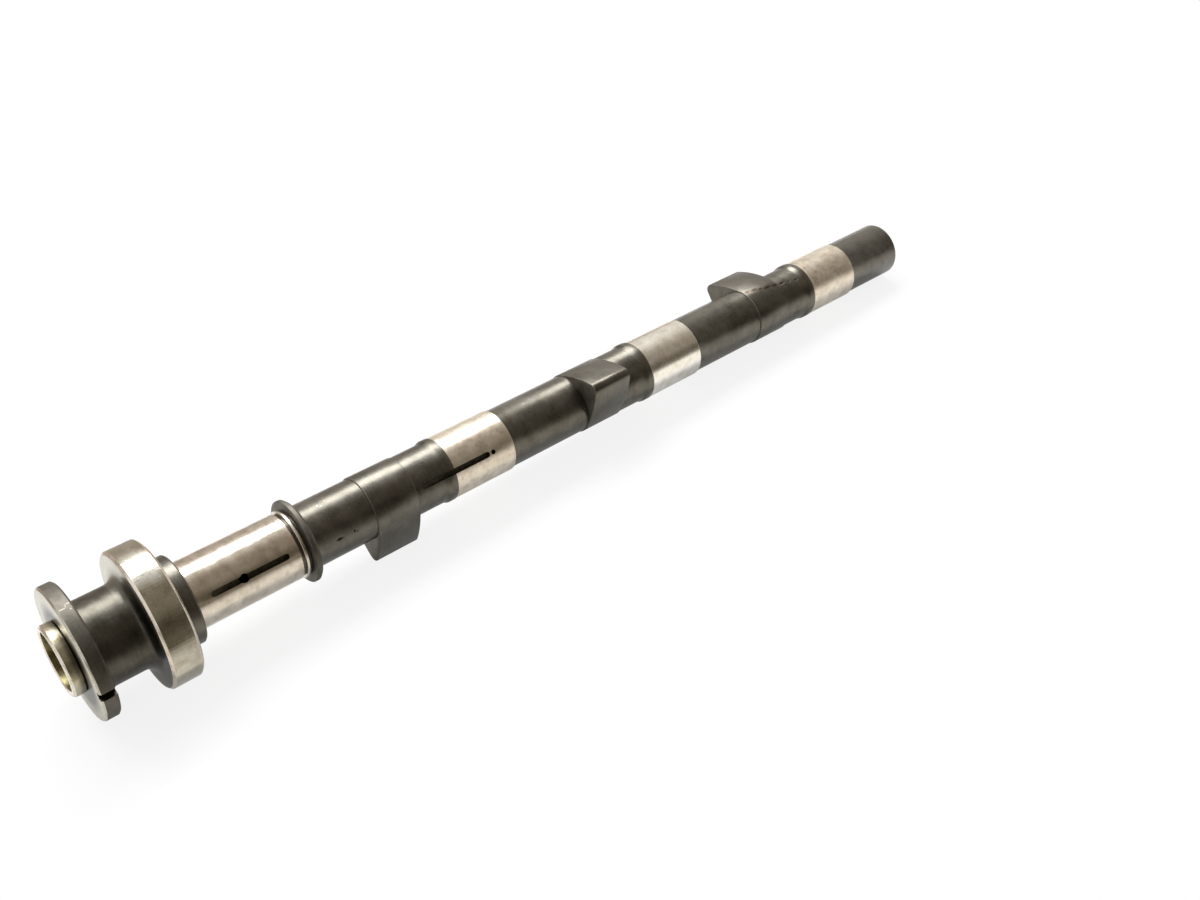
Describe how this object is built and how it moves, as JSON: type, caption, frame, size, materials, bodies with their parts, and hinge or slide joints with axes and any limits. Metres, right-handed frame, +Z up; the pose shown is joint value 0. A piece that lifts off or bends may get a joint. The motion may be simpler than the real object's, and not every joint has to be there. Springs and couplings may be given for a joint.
{
  "type": "camshaft",
  "caption": "Forged shaft with ground journals, cam lobes set round it, a notched nose flange and a wide drive ring; it lifts an engine's valves as it turns.",
  "frame": {"origin": "on the shaft's axis, at the middle of the front journal", "axes": "+X along the shaft's axis from the nose to the rear end, +Z up as the shaft lies, +Y to the side that the camera doesn't see"},
  "size_m": [0.4361, 0.0544, 0.0544],
  "materials": {
    "forged_steel": "ground journals, dark satin between them"
  },
  "bodies": {
    "root": {"camshaft": "forged_steel"}
  },
  "joints": []
}
